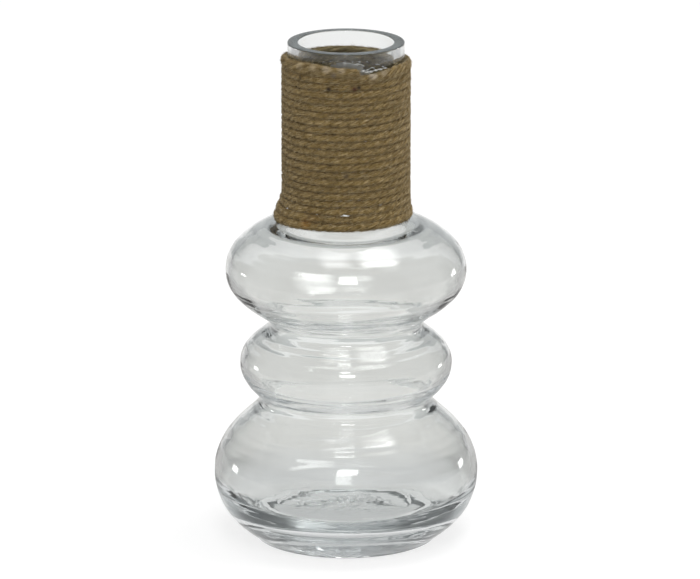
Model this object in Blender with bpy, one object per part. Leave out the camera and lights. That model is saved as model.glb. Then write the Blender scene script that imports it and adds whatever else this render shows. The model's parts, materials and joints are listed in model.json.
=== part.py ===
"""Clear glass vase with three bulges and a neck wound with jute twine.

Metres, +Z up. The vase stands on z = 0, on the middle of its foot. The front faces -Y.
"""

import math

import bmesh
import bpy
import numpy as np

# Heights of the glass, each from the one below, from the table up to the rim
FOOT_TO_LOWER_BULGE = 0.0287
LOWER_BULGE_TO_WAIST = 0.0328
WAIST_TO_MIDDLE_BULGE = 0.0160
MIDDLE_BULGE_TO_WAIST = 0.0174
WAIST_TO_UPPER_BULGE = 0.0240
UPPER_BULGE_TO_NECK = 0.0263
NECK_LENGTH = 0.0748

# Outer radii of the glass
FOOT_RADIUS = 0.0401
LOWER_BULGE_RADIUS = 0.0575
LOWER_WAIST_RADIUS = 0.0376
MIDDLE_BULGE_RADIUS = 0.0462
UPPER_WAIST_RADIUS = 0.0335
UPPER_BULGE_RADIUS = 0.0524
NECK_RADIUS = 0.0252

# Share of the way to the next ring along which the wall stays upright: more is rounder
BULGE_ROUNDNESS = 0.60
LOWER_WAIST_ROUNDNESS = 0.17
UPPER_WAIST_ROUNDNESS = 0.23

# The heel leans out from the table, and the shoulder runs down from the neck
HEEL_LEAN = math.radians(38.0)
HEEL_PULL = 0.0063
SHOULDER_FALL = math.radians(25.0)
SHOULDER_PULL = 0.0100
ROOT_FILLET = 0.0018

# Wall of the glass
BULGE_WALL = 0.0030
WAIST_WALL = 0.0036
ROOT_WALL = 0.0040
NECK_WALL = 0.0046
RIM_EDGE = 0.0004

# The heavy base: a floor with a shallow round well in it, and a hollow underneath
FLOOR_HEIGHT = 0.0125
FLOOR_RADIUS = 0.0350
FLOOR_PULL = 0.0100
WELL_RADIUS = 0.0293
WELL_EDGE = 0.0012
WELL_DEPTH = 0.0012
FOOT_RING_WIDTH = 0.0045
FOOT_EDGE = 0.0006
HOLLOW_HEIGHT = 0.0034

# Twine, wound up to the right, in as many turns as fit with at least this gap between them
TWINE_RADIUS = 0.00137
LEAST_TURN_GAP = 0.00045
SEAT_CLEARANCE = 0.0003
BARE_NECK = 0.0074
UPPER_END_AZIMUTH = math.radians(10.0)
ROOT_AZIMUTH = math.radians(-8.0)
TAIL_TURNS = 0.28

# The lowest turns ride out over the shoulder on the left
SPREAD = 0.0032
SPREAD_TURNS = 3.0
SPREAD_SIDE = math.radians(-90.0)
SPREAD_HALF_WIDTH = math.radians(82.0)
SPREAD_SINK = 0.12

# Glue: a smear above the upper end and a bead under the lowest turn
SMEAR_LENGTH = 0.0130
SMEAR_HEIGHT = 0.0026
SMEAR_THICKNESS = 0.0008
SMEAR_AZIMUTH = math.radians(2.0)
BEAD_RADIUS = 0.0004
BEAD_LENGTH = 0.0110
BEAD_AZIMUTH = math.radians(66.0)

# Fineness of the solids
GLASS_SEGMENTS = 48
CURVE_STEPS = 7
FINE_STEPS = 60
FILLET_STEPS = 3
HOLLOW_STEPS = 4
POINTS_PER_TURN = 24
SMEAR_SEGMENTS = 20
SMEAR_RINGS = 10
BEAD_POINTS = 9

MERGE = 0.000001


def clear_scene():
    for old in list(bpy.data.objects):
        bpy.data.objects.remove(old, do_unlink=True)


def make_material(name, colour, roughness, transmission=0.0):
    material = bpy.data.materials.new(name)
    material.use_nodes = True
    shader = material.node_tree.nodes["Principled BSDF"]
    shader.inputs["Base Color"].default_value = (*colour, 1.0)
    shader.inputs["Metallic"].default_value = 0.0
    shader.inputs["Roughness"].default_value = roughness
    shader.inputs["Transmission Weight"].default_value = transmission
    return material


def bezier(start, start_pull, end_pull, end, steps):
    """Points of a curve from start up to, but without, end, each facet leaving it alike."""

    def places(along):
        back = 1.0 - along
        return (
            np.outer(back ** 3, start)
            + np.outer(3.0 * back ** 2 * along, start_pull)
            + np.outer(3.0 * back * along ** 2, end_pull)
            + np.outer(along ** 3, end)
        )

    fine = np.linspace(0.0, 1.0, FINE_STEPS + 1)
    runs = np.diff(places(fine), axis=0)
    lengths = np.linalg.norm(runs, axis=1)
    headings = np.unwrap(np.arctan2(runs[:, 1], runs[:, 0]))
    bends = np.abs(np.gradient(headings))
    reached = np.concatenate([[0.0], np.cumsum(np.sqrt(lengths * bends))])
    wanted = np.arange(steps) / steps * reached[-1]
    return places(np.interp(wanted, reached, fine))


def ring_heights():
    """Heights of the widest and narrowest rings and of the neck's start, from the table up."""
    steps = (
        FOOT_TO_LOWER_BULGE,
        LOWER_BULGE_TO_WAIST,
        WAIST_TO_MIDDLE_BULGE,
        MIDDLE_BULGE_TO_WAIST,
        WAIST_TO_UPPER_BULGE,
        UPPER_BULGE_TO_NECK,
    )
    return np.cumsum(steps)


NECK_START = float(ring_heights()[-1])
RIM_HEIGHT = NECK_START + NECK_LENGTH


def outer_rings():
    """Radius, height, roundness and wall of each widest or narrowest ring of the outside."""
    lower, lower_waist, middle, upper_waist, upper, _ = ring_heights()
    return [
        (LOWER_BULGE_RADIUS, lower, BULGE_ROUNDNESS, BULGE_WALL),
        (LOWER_WAIST_RADIUS, lower_waist, LOWER_WAIST_ROUNDNESS, WAIST_WALL),
        (MIDDLE_BULGE_RADIUS, middle, BULGE_ROUNDNESS, BULGE_WALL),
        (UPPER_WAIST_RADIUS, upper_waist, UPPER_WAIST_ROUNDNESS, WAIST_WALL),
        (UPPER_BULGE_RADIUS, upper, BULGE_ROUNDNESS, BULGE_WALL),
    ]


def fillet_point(angle, wall=0.0):
    """Point of the round between shoulder and neck, or of the inside behind it."""
    reach = ROOT_FILLET + wall
    return (
        NECK_RADIUS + ROOT_FILLET - reach * math.cos(angle),
        NECK_START - reach * math.sin(angle),
    )


def heel_curve():
    """Outside from the foot's edge up to the lower bulge's widest ring."""
    radius, height, roundness, _ = outer_rings()[0]
    start = (FOOT_RADIUS, FOOT_EDGE)
    start_pull = (
        FOOT_RADIUS + HEEL_PULL * math.cos(HEEL_LEAN),
        FOOT_EDGE + HEEL_PULL * math.sin(HEEL_LEAN),
    )
    end_pull = (radius, height * (1.0 - roundness))
    return bezier(start, start_pull, end_pull, (radius, height), CURVE_STEPS)


def side_curve():
    """Outside from the lower bulge's widest ring to the neck, with the wall at each point."""
    points = []
    walls = []
    rings = outer_rings()
    for (radius, height, roundness, wall), following in zip(rings, rings[1:]):
        next_radius, next_height, next_roundness, next_wall = following
        rise = next_height - height
        points.append(
            bezier(
                (radius, height),
                (radius, height + roundness * rise),
                (next_radius, next_height - next_roundness * rise),
                (next_radius, next_height),
                CURVE_STEPS,
            )
        )
        walls.append(np.interp(points[-1][:, 1], (height, next_height), (wall, next_wall)))
    radius, height, roundness, wall = rings[-1]
    top_angle = math.pi / 2.0 - SHOULDER_FALL
    top = fillet_point(top_angle)
    top_pull = (
        top[0] + SHOULDER_PULL * math.cos(SHOULDER_FALL),
        top[1] - SHOULDER_PULL * math.sin(SHOULDER_FALL),
    )
    upright = (radius, height + roundness * (top[1] - height))
    points.append(bezier((radius, height), upright, top_pull, top, CURVE_STEPS))
    walls.append(np.interp(points[-1][:, 1], (height, top[1]), (wall, ROOT_WALL)))
    return np.vstack(points), np.concatenate(walls)


def root_fillet():
    """Round from the shoulder into the neck, outside and inside."""
    angles = np.linspace(math.pi / 2.0 - SHOULDER_FALL, 0.0, FILLET_STEPS + 1)
    walls = np.linspace(ROOT_WALL, NECK_WALL, FILLET_STEPS + 1)
    outside = [fillet_point(angle) for angle in angles]
    inside = [fillet_point(angle, wall) for angle, wall in zip(angles, walls)]
    return np.array(outside), np.array(inside)


def inner_side(points, walls):
    """The inside of the wall, measured in from the outside, square to it."""
    following = np.vstack([points[1:], fillet_point(math.pi / 2.0 - SHOULDER_FALL)])
    before = np.vstack([points[0] - (0.0, BULGE_WALL), points[:-1]])
    along = following - before
    along /= np.linalg.norm(along, axis=1)[:, None]
    inward = np.column_stack([-along[:, 1], along[:, 0]])
    return points + inward * walls[:, None]


def glass_profile():
    """Half section of the glass, from under its middle round the outside to the floor inside."""
    foot_inner = FOOT_RADIUS - FOOT_RING_WIDTH
    hollow = bezier(
        (0.0, HOLLOW_HEIGHT),
        (foot_inner * 0.5, HOLLOW_HEIGHT),
        (foot_inner - HOLLOW_HEIGHT, HOLLOW_HEIGHT),
        (foot_inner, 0.0),
        HOLLOW_STEPS,
    )
    foot = [(foot_inner, 0.0), (FOOT_RADIUS - FOOT_EDGE, 0.0)]
    side, walls = side_curve()
    outside_fillet, inside_fillet = root_fillet()
    bore_radius = NECK_RADIUS - NECK_WALL
    rim = [
        (NECK_RADIUS, RIM_HEIGHT - RIM_EDGE),
        (NECK_RADIUS - RIM_EDGE, RIM_HEIGHT),
        (bore_radius + RIM_EDGE, RIM_HEIGHT),
        (bore_radius, RIM_HEIGHT - RIM_EDGE),
    ]
    inner = inner_side(side, walls)
    bowl = bezier(
        inner[0],
        (inner[0][0], inner[0][1] - BULGE_ROUNDNESS * (inner[0][1] - FLOOR_HEIGHT)),
        (FLOOR_RADIUS + FLOOR_PULL, FLOOR_HEIGHT),
        (FLOOR_RADIUS, FLOOR_HEIGHT),
        CURVE_STEPS,
    )
    floor = [
        (FLOOR_RADIUS, FLOOR_HEIGHT),
        (WELL_RADIUS + WELL_EDGE, FLOOR_HEIGHT),
        (WELL_RADIUS, FLOOR_HEIGHT - WELL_DEPTH),
        (0.0, FLOOR_HEIGHT - WELL_DEPTH),
    ]
    return np.vstack(
        [
            hollow,
            foot,
            heel_curve(),
            side,
            outside_fillet,
            rim,
            inside_fillet[::-1],
            inner[:0:-1],
            bowl,
            floor,
        ]
    )


def make_glass():
    mesh = bpy.data.meshes.new("glass_body")
    shape = bmesh.new()
    verts = [shape.verts.new((radius, 0.0, height)) for radius, height in glass_profile()]
    edges = [shape.edges.new(pair) for pair in zip(verts, verts[1:])]
    bmesh.ops.spin(
        shape,
        geom=verts + edges,
        cent=(0.0, 0.0, 0.0),
        axis=(0.0, 0.0, 1.0),
        angle=2.0 * math.pi,
        steps=GLASS_SEGMENTS,
        use_merge=True,
        use_duplicate=False,
    )
    bmesh.ops.remove_doubles(shape, verts=shape.verts, dist=MERGE)
    bmesh.ops.recalc_face_normals(shape, faces=shape.faces)
    shape.to_mesh(mesh)
    shape.free()
    mesh.shade_smooth()
    mesh.set_sharp_from_angle(angle=math.radians(40.0))
    glass = bpy.data.objects.new("glass_body", mesh)
    bpy.context.collection.objects.link(glass)
    mesh.materials.append(make_material("clear_soda_glass", (0.93, 0.94, 0.94), 0.03, 1.0))
    return glass


def around(radius, azimuth, height):
    """Point at an azimuth counted from the front, -Y, towards the right, +X."""
    return np.array([radius * math.sin(azimuth), -radius * math.cos(azimuth), height])


def lowest_turn_height():
    """Height at which the twine, against the neck, clears the round at its root."""
    return NECK_START + max(0.0, TWINE_RADIUS + SEAT_CLEARANCE - ROOT_FILLET)


def winding_height():
    return RIM_HEIGHT - BARE_NECK - lowest_turn_height()


def winding_turns():
    """Turns from the twine's lowest place against the neck up to its upper end."""
    part_turn = (UPPER_END_AZIMUTH - ROOT_AZIMUTH) / (2.0 * math.pi) % 1.0
    fitting = winding_height() / (2.0 * TWINE_RADIUS + LEAST_TURN_GAP)
    return math.floor(fitting - part_turn) + part_turn


def twine_azimuth(turn):
    return ROOT_AZIMUTH + 2.0 * math.pi * turn


def twine_spread(turn):
    """How far the twine rides out from the neck, this many turns above its lowest place."""
    off_side = (twine_azimuth(turn) - SPREAD_SIDE + math.pi) % (2.0 * math.pi) - math.pi
    lobe = math.cos(min(abs(off_side) / SPREAD_HALF_WIDTH, 1.0) * math.pi / 2.0) ** 2
    fade = min(max(1.0 - turn / SPREAD_TURNS, 0.0), 1.0)
    return SPREAD * lobe * fade


def twine_path():
    """Centre line of the twine, with a straight stretch of one diameter at each end."""
    half_step = math.pi / POINTS_PER_TURN
    seat = (NECK_RADIUS + SEAT_CLEARANCE + TWINE_RADIUS) / math.cos(half_step)
    turns = winding_turns()
    pitch = winding_height() / turns
    count = math.ceil((turns + TAIL_TURNS) * POINTS_PER_TURN)
    points = []
    for turn in np.linspace(-TAIL_TURNS, turns, count + 1):
        spread = twine_spread(turn)
        height = lowest_turn_height() + pitch * turn - SPREAD_SINK * spread
        points.append(around(seat + spread, twine_azimuth(turn), height))
    points = np.array(points)
    end_length = 2.0 * TWINE_RADIUS
    lower_way = points[0] - points[1]
    upper_way = points[-1] - points[-2]
    lower_end = points[0] + end_length * lower_way / np.linalg.norm(lower_way)
    upper_end = points[-1] + end_length * upper_way / np.linalg.norm(upper_way)
    return np.vstack([lower_end, points, upper_end])


def least_turn_gap(points):
    """Least gap between the twine and itself, over points at least half a turn apart."""
    half_turn = POINTS_PER_TURN // 2
    middles = (points[1:] + points[:-1]) / 2.0
    samples = np.vstack([points, middles])
    order = np.concatenate([np.arange(len(points)), np.arange(len(middles)) + 0.5])
    least = math.inf
    for point, place in zip(samples, order):
        others = samples[np.abs(order - place) >= half_turn]
        least = min(least, float(np.linalg.norm(others - point, axis=1).min()))
    return least - 2.0 * TWINE_RADIUS


def make_tube(name, points, radius, material):
    """Closed round tube along a line of points."""
    curve = bpy.data.curves.new(name, "CURVE")
    curve.dimensions = "3D"
    curve.bevel_depth = radius
    curve.bevel_resolution = 1
    curve.use_fill_caps = True
    spline = curve.splines.new("POLY")
    spline.points.add(len(points) - 1)
    for spline_point, place in zip(spline.points, points):
        spline_point.co = (*place, 1.0)
    tube = bpy.data.objects.new(name, curve)
    bpy.context.collection.objects.link(tube)
    curve.materials.append(material)
    return tube


def make_twine():
    points = twine_path()
    length = float(np.linalg.norm(np.diff(points, axis=0), axis=1).sum())
    print(f"twine: {winding_turns() + TAIL_TURNS:.2f} turns, {length:.3f} m long")
    print(f"twine: least gap between its turns {least_turn_gap(points) * 1000.0:.2f} mm")
    jute = make_material("jute_twine", (0.15, 0.105, 0.05), 0.9)
    return make_tube("twine_wrap", points, TWINE_RADIUS, jute)


def make_top_smear(glue):
    """Lens-shaped smear of glue on the neck, just above the upper end of the twine."""
    back_radius = NECK_RADIUS + SEAT_CLEARANCE
    twine_top = RIM_HEIGHT - BARE_NECK + TWINE_RADIUS + SEAT_CLEARANCE
    middle_height = twine_top + SMEAR_HEIGHT / 2.0
    mesh = bpy.data.meshes.new("glue_smear_top")
    shape = bmesh.new()
    bmesh.ops.create_uvsphere(
        shape, u_segments=SMEAR_SEGMENTS, v_segments=SMEAR_RINGS, radius=1.0
    )
    for vert in shape.verts:
        across, upward, outward = vert.co
        azimuth = SMEAR_AZIMUTH + across * SMEAR_LENGTH / 2.0 / back_radius
        radius = back_radius + SMEAR_THICKNESS * max(outward, 0.0)
        vert.co = around(radius, azimuth, middle_height + upward * SMEAR_HEIGHT / 2.0)
    shape.to_mesh(mesh)
    shape.free()
    mesh.shade_smooth()
    smear = bpy.data.objects.new("glue_smear_top", mesh)
    bpy.context.collection.objects.link(smear)
    mesh.materials.append(glue)
    return smear


def make_foot_bead(glue):
    """Bead of glue in the corner between neck and shoulder, under the lowest turn."""
    bead_radius = NECK_RADIUS + SEAT_CLEARANCE + BEAD_RADIUS
    azimuth_reach = BEAD_LENGTH / 2.0 / bead_radius
    drop = ROOT_FILLET - SEAT_CLEARANCE - BEAD_RADIUS
    height = NECK_START - drop * math.cos(SHOULDER_FALL)
    points = []
    for azimuth in np.linspace(BEAD_AZIMUTH - azimuth_reach, BEAD_AZIMUTH + azimuth_reach, BEAD_POINTS):
        points.append(around(bead_radius + drop, azimuth, height))
    return make_tube("glue_bead_foot", points, BEAD_RADIUS, glue)


def main():
    clear_scene()
    make_glass()
    make_twine()
    glue = make_material("clear_glue", (0.85, 0.86, 0.84), 0.25, 0.6)
    make_top_smear(glue)
    make_foot_bead(glue)


main()
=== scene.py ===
import json
import math

import bpy
import numpy as np
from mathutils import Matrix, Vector, noise

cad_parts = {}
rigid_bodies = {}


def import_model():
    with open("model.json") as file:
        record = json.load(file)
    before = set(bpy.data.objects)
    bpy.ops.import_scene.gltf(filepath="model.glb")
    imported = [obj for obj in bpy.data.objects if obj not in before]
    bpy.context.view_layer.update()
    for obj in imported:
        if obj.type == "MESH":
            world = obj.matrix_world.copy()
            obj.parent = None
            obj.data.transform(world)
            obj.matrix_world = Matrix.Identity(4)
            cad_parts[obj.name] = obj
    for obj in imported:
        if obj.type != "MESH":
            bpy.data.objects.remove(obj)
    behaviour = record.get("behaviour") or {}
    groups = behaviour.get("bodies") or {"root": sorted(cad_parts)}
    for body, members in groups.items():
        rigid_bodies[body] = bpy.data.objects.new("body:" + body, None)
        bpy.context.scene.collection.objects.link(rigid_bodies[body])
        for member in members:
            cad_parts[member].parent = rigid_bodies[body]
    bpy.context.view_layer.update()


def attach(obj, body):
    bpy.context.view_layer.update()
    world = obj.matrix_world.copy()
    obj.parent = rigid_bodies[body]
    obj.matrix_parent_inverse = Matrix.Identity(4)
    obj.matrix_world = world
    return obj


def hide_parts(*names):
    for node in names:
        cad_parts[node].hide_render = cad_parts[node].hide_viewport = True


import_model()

# The glass's widest and narrowest rings, from the lowest up: rise above the one below, radius, share
# of the way to the next ring on which the wall stays upright, and thickness of the wall
BULGE_ROUNDNESS = 0.60
BULGE_WALL = 0.0030
WAIST_WALL = 0.0036
RINGS = {
    "lower_bulge": (0.0287, 0.0575, BULGE_ROUNDNESS, BULGE_WALL),
    "lower_waist": (0.0328, 0.0376, 0.17, WAIST_WALL),
    "middle_bulge": (0.0160, 0.0462, BULGE_ROUNDNESS, BULGE_WALL),
    "upper_waist": (0.0174, 0.0335, 0.23, WAIST_WALL),
    "upper_bulge": (0.0240, 0.0524, BULGE_ROUNDNESS, BULGE_WALL),
}
UPPER_BULGE_TO_NECK = 0.0263
NECK_LENGTH = 0.0748
NECK_RADIUS = 0.0252
FOOT_RADIUS = 0.0401

# Heel, shoulder and the round at the neck's root
HEEL_LEAN = math.radians(38.0)
HEEL_PULL = 0.0063
SHOULDER_FALL = math.radians(25.0)
SHOULDER_PULL = 0.0100
ROOT_FILLET = 0.0018

# Wall, floor, the well in it and the hollow underneath
ROOT_WALL = 0.0040
NECK_WALL = 0.0046
RIM_EDGE = 0.0004
FLOOR_HEIGHT = 0.0125
FLOOR_RADIUS = 0.0350
FLOOR_PULL = 0.0100
WELL_RADIUS = 0.0282
WELL_EDGE = 0.0014
WELL_PULLS = (0.4, 0.3)
WELL_FOOT = 0.6
WELL_DEPTH = 0.0009
FOOT_RING_WIDTH = 0.0045
FOOT_EDGE = 0.0006
HOLLOW_HEIGHT = 0.0034

# A step in the inside of the shoulder, where the thick glass of the neck ends
STEP_RADIUS = 0.0335
STEP_WIDTH = 0.0056
STEP_DEPTH = 0.00060

# Glass that gathered inside each waist as it was pinched: its depth and half height
WAIST_GATHER = 0.0014
WAIST_GATHER_REACH = 0.0030

# Waves left in the glass by its turning: length along the wall and depth. Inside they are deeper, and
# the short ones are deeper still near the waists and on the upper bulge
RIPPLES = ((0.0024, 0.000008), (0.0037, 0.000016), (0.0061, 0.000032), (0.0098, 0.000055))
SHORT_RIPPLE = 0.005
INSIDE_RIPPLES = 1.3
WAIST_RIPPLES = 3.6
UPPER_RIPPLES = 2.4
WAIST_RIPPLE_REACH = 0.017

# How the rings wander on their way round, fade in patches and start
RIPPLE_DRIFT = (1.7, 1.1)
RIPPLE_PATCH = (0.55, 0.45, 1.3)
RIPPLE_SHIFTS = 6

# Upright waves inside: number on the way round and depth. Below the neck they bend as they rise
UPRIGHT_WAVES = ((17, 0.000032), (29, 0.000013))
NECK_WAVES = ((41, 0.000016), (67, 0.000008))
UPRIGHT_DRIFT = (2.0, 0.011)
UPRIGHT_BEAT = (0.6, 0.4, 0.009)

# Share of the waves left where they look calmer, and at the sides, where deep ones notch the outline
SHOULDER_CALM = 0.15
NECK_CALM = 0.15
HEEL_CALM = 0.45
BACK_CALM = 0.25
SIDE_CALM = 0.55

# Where the waves fade and over what stretch: a radius, heights and, at the sides, a sine of azimuth
SHOULDER_FADE = (0.042, 0.006)
NECK_FADE = 0.008
HEEL_FADE = (0.016, 0.008)
FOOT_FADE = (0.0008, 0.003)
RIM_FADE = (0.0006, 0.002)
SIDE_FADE = (0.5, 0.3)

# The floor's waves, and how far the well's edge wanders sideways
FLOOR_WAVE = 0.00020
FLOOR_WAVE_LENGTH = 0.0085
FLOOR_SKIN = 0.0002
FLOOR_MARGIN = 0.004
WELL_WANDER = 0.0007
WELL_WANDER_REACH = 0.0025
GLASS_SEED = 7

# Fineness of the turned glass. Long faces in the neck would bend the light
CURVE_STEPS = 40
FILLET_STEPS = 6
HOLLOW_STEPS = 14
FLOOR_STEPS = 14
RIM_STEPS = 4
NECK_STEPS = 12
GLASS_STEPS = 172
MERGE = 0.000001
SHARP_EDGE = math.radians(35.0)

# Jute twine of three plies, wound up to the right. Its last stretch has untwisted
PLY_RADIUS = 0.00108
PLY_OFFSET = 0.00063
PLY_LAY = 0.0112
LOOSE_LENGTH = 0.165
LOOSE_SHARE = 0.55
LOOSE_BLEND = 0.25
PLY_STEP = 0.0007
PLY_SIDES = 12
TWINE_RADIUS = PLY_RADIUS + PLY_OFFSET

# The winding pressed the twine flat against the glass: its depth is this share of its width
FLATNESS = 0.78
TWINE_DEPTH = TWINE_RADIUS * FLATNESS
BARE_NECK = 0.0074
LOWEST_TURN = 0.1448
UPPER_END_AZIMUTH = math.radians(10.0)
ROOT_AZIMUTH = math.radians(-8.0)
TURNS = 21.0 + (UPPER_END_AZIMUTH - ROOT_AZIMUTH) / math.tau
TAIL_TURNS = 0.28
COARSE_STEPS = 9000
WANDER = 0.00008

# The lowest turns spread out on the left, where they were wound over the tail
SPREAD = 0.0025
SPREAD_TURNS = 2.5
SPREAD_SIDE = math.radians(-90.0)
SPREAD_HALF_WIDTH = math.radians(82.0)
SPREAD_SINK = 0.12

# All round, the lowest turns slid down and outwards on the round at the neck's root
LOWEST_TURNS = 1.8
LOWEST_SPREAD = 0.0007
LOWEST_SAG = 0.0003

# Where two neighbouring turns part and show a glint of glass, in turns, and how far they part
THIN_PLACE = 1.022
THIN_LENGTH = 0.015
THIN_GAP = 0.00030

# How wide each turn shows at the front, from the lowest up, and how much of that the twine follows
TURN_WIDTHS = (
    0.00340, 0.00310, 0.00378, 0.00285, 0.00354, 0.00265, 0.00354, 0.00265, 0.00354, 0.00354, 0.00310,
    0.00310, 0.00398, 0.00310, 0.00354, 0.00265, 0.00310, 0.00265, 0.00354, 0.00288, 0.00288, 0.00332,
)
TURN_FOLLOW = 0.65
WIDTH_FOLLOW = 0.5

# How much thicker the plies are here and there, and how much thinner where two turns part
SPREAD_SWELL = 0.15
LOW_SWELL = 0.10
LOW_TURNS = 4.5
LOWEST_SWELL = 0.09
FRAY_SWELL = 0.10
THIN_SWELL = -0.19

# How far the frayed last turn rises above the winding: turns before the upper end, and rise
LAST_TURN_RISE = (
    (0.0, 0.0002), (0.05, 0.0009), (0.12, 0.0021), (0.25, 0.0013), (0.42, 0.0),
    (0.68, 0.0), (0.78, 0.0012), (0.88, 0.0021), (0.95, 0.0006), (1.0, 0.0),
)

# Unevenness of hand-spun plies: how strong it is, and the length over which it changes
PLY_LAG = (0.45, 0.013)
PLY_SWAY = (0.10, 0.005)
PLY_LUMPS = (0.07, 0.0035)
PLY_ROLL = (3.0, 0.006)
PLY_TWIST = 1.6
PLY_LOBES = ((3, 0.055), (5, 0.03))
PLY_SEED = 21

# How near the plies sink to the shoulder, as a share of their radius
SHOULDER_PRESS = 0.95

# Loose fibres. Real ones are 0.05 mm thick or less, too fine to show, and are drawn 0.13 mm thick
FIBRE_RADIUS = 0.000065
FIBRE_TAPER = 0.65
FIBRE_STEPS = 5
FIBRE_PARTS = np.linspace(0.0, 1.0, FIBRE_STEPS)
FIBRE_SIDES = 3
FIBRE_TURN = (0.1, 0.9)
FIBRE_CURVE = 1.6
FIBRE_SEED = 5

# A direction that no fibre runs in
ASKEW = (0.31, 0.17, 0.93)

# Fibres that grow from the twine's skin: how many, how long, how far their tips stand off, how deep
# their roots lie, and where they leave the twine, from straight out, 0, to straight up, half of pi
LYING = {"count": 6000, "length": (0.0018, 0.0050), "lift": (0.00005, 0.00030), "root": 0.00006}
WILD = {"count": 600, "length": (0.0015, 0.0045), "lift": (0.00045, 0.0015), "root": 0.00010}
FRAYED = {"count": 3000, "length": (0.0020, 0.0060), "lift": (0.0001, 0.0009), "root": 0.00010}
FOOT = {"count": 3500, "length": (0.0010, 0.0030), "lift": (0.0002, 0.0012), "root": 0.00020}
ALL_ROUND = (-1.9, 1.9)
DOWNWARDS = (-1.5, -0.4)
FOOT_TURNS = 1.3

# Fibres matted across the turns: one in MATTED_FOOT of them lies on the lowest turns
MATTED_FIBRES = 6000
MATTED_FOOT = 7
MATTED_FOOT_TURNS = 3.0
MATTED_DEPTH = (-0.00030, 0.00008)
MATTED_LEAN = (math.radians(14.0), math.radians(16.0))
MATTED_BEND = 0.5
MATTED_LENGTH = (0.0015, 0.0055)
MATTED_SINK = 0.0003

# Fibres that splay from the twine's cut upper end
END_FIBRES = 110
END_LENGTH = (0.0004, 0.0022)
END_WIDTH = (0.0012, 0.0015)
END_SPLAY = 0.35
END_CURVE = 1.5

# Colours of the jute from dark to light, spun and as loose fibres, and their places in the pattern
PLY_SHADES = ("4c3a15", "705c33", "8e794f", "c0ac86")
FIBRE_SHADES = ("58441c", "856f43", "ab966b", "dccdac")
SHADE_PLACES = (0.34, 0.45, 0.54, 0.66)
SHADE_SPAN = (4.0, 1.0)

# Stains and bleached places on the twine: azimuth in degrees, height, reach, strength and colour
STAINS = (
    (-46, 0.2140, 0.0030, 0.40, "cbbb9e"),
    (-31, 0.2142, 0.0030, 0.45, "cbbb9e"),
    (-18, 0.2142, 0.0032, 0.65, "d4c6ae"),
    (-4, 0.2139, 0.0026, 0.50, "d4c6ae"),
    (25, 0.2113, 0.0032, 0.75, "dcd2c0"),
    (36, 0.2117, 0.0026, 0.50, "d4c6ae"),
    (-37, 0.1450, 0.0040, 0.55, "a0702c"),
    (-11, 0.2115, 0.0022, 0.75, "85796c"),
    (-15.5, 0.2053, 0.0020, 1.0, "2c2018"),
    (7.7, 0.2053, 0.0020, 1.0, "4a2018"),
    (11.5, 0.2061, 0.0015, 1.0, "241a12"),
    (-45, 0.2090, 0.0012, 0.70, "33281a"),
    (0, 0.1673, 0.0018, 0.70, "4a4038"),
    (-30, 0.1480, 0.0050, 0.30, "6b4a20"),
)

# Drops of glue: azimuth in degrees, radius and height of the place they lie on, tilt of that place
# (90 degrees upright, 0 level), width, height and thickness
GLUE_FILM = (
    (-9, 0.0252, 0.2137, 90, 0.0075, 0.0044, 0.00030),
    (0, 0.0252, 0.2143, 90, 0.0080, 0.0048, 0.00034),
    (8.5, 0.0252, 0.2139, 90, 0.0070, 0.0046, 0.00030),
    (17, 0.0252, 0.2119, 90, 0.0050, 0.0032, 0.00026),
)
GLUE_NOTCH = (
    (16, 0.0259, 0.2127, 90, 0.0030, 0.0011, 0.00035),
    (20, 0.0260, 0.2122, 90, 0.0022, 0.0010, 0.00040),
    (24, 0.0262, 0.2124, 80, 0.0026, 0.0009, 0.00040),
    (28.5, 0.0264, 0.2128, 70, 0.0022, 0.0008, 0.00035),
    (33, 0.0266, 0.2130, 60, 0.0024, 0.0008, 0.00035),
    (38, 0.0268, 0.2133, 60, 0.0020, 0.0006, 0.00030),
)
GLUE_FOOT = (
    (50, 0.0274, 0.1430, 25, 0.0020, 0.0010, 0.00045),
    (56, 0.0277, 0.1429, 25, 0.0014, 0.0012, 0.00055),
    (61, 0.0273, 0.1431, 25, 0.0022, 0.0009, 0.00050),
    (66, 0.0280, 0.1427, 25, 0.0012, 0.0010, 0.00045),
    (71, 0.0274, 0.1430, 25, 0.0024, 0.0011, 0.00060),
    (77, 0.0278, 0.1428, 25, 0.0013, 0.0009, 0.00045),
)
GLUE_GAP = 0.00003

# How uneven a drop's edge is, as number of bays and depth, and how full its underside is
GLUE_BAYS = ((2.0, 0.16), (3.0, 0.13), (7.0, 0.09))
GLUE_UNDERSIDE = 0.15

# Strings of glue: azimuth in degrees, radius and height of their points
GLUE_THREADS = (
    ((-2, 0.0255, 0.2162), (3, 0.02555, 0.2166), (8, 0.0255, 0.2158), (12, 0.02552, 0.2156)),
    ((10, 0.02555, 0.2161), (14, 0.02552, 0.2158), (17, 0.02558, 0.2150), (17.5, 0.02556, 0.2146)),
    ((19, 0.0260, 0.2130), (22, 0.0258, 0.2134), (25, 0.0259, 0.2142), (28, 0.0260, 0.2136)),
)
GLUE_THREAD_RADIUS = 0.00020
GLUE_THREAD_SIDES = 8
GLUE_THREAD_SWELL = (0.35, 2.9)

# Camera: it stands 2.7 m away and looks 15 degrees down on the vase's middle
LOOK_AT = Vector((0.0, 0.0, 0.110))
CAMERA_DISTANCE = 2.728
CAMERA_PITCH = math.radians(15.45)
LENS = 323.5
SENSOR = 36.0
CAMERA_SHIFT = (0.0057, -0.0013)
CLIP = (0.1, 50.0)

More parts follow.
